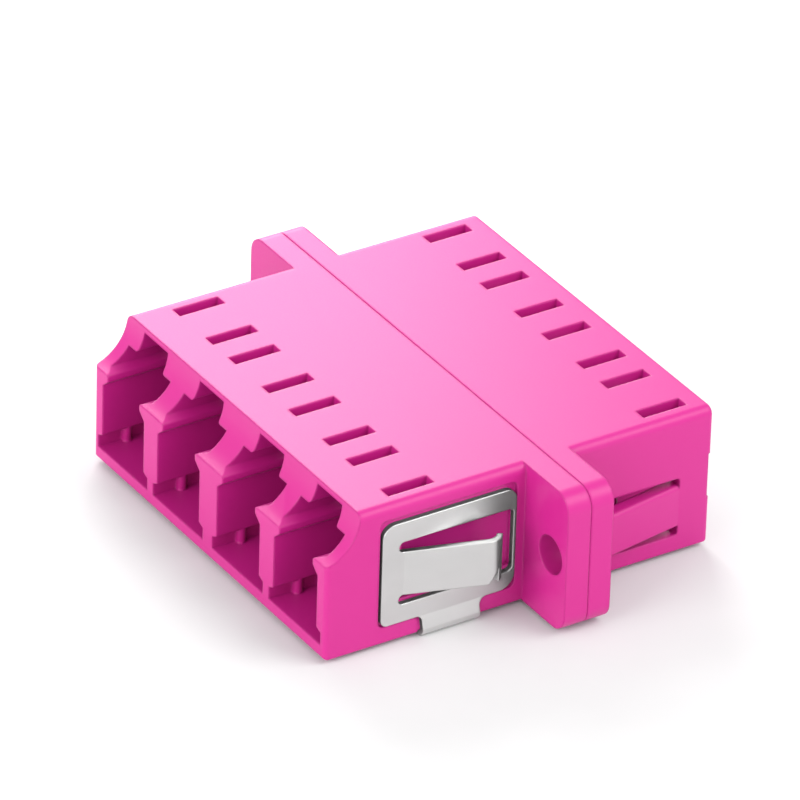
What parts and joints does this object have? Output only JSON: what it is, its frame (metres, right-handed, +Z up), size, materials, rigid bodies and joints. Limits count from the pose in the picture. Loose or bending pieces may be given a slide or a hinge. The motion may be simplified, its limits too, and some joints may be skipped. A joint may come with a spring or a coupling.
{
  "type": "fibre optic adapter",
  "caption": "Flanged panel adapter with a row of plug ports on both sides, latch windows on top, screw ears, a folded spring clip and inner alignment sleeves.",
  "frame": {"origin": "middle of the flat underside, on the seam between the two housings", "axes": "+X across the flange from ear to ear, -Y out of the front ports, +Y out of the rear ports, +Z up towards the latch windows"},
  "size_m": [0.0344, 0.0261, 0.0094],
  "materials": {
    "housing_plastic": "satin moulded magenta",
    "spring_steel": "bright rolled stainless sheet",
    "ceramic": "polished white ceramic"
  },
  "bodies": {
    "root": {"front_housing": "housing_plastic", "rear_housing": "housing_plastic", "spring_clip": "spring_steel", "split_sleeve_1": "ceramic", "split_sleeve_2": "ceramic", "split_sleeve_3": "ceramic", "split_sleeve_4": "ceramic"}
  },
  "joints": []
}
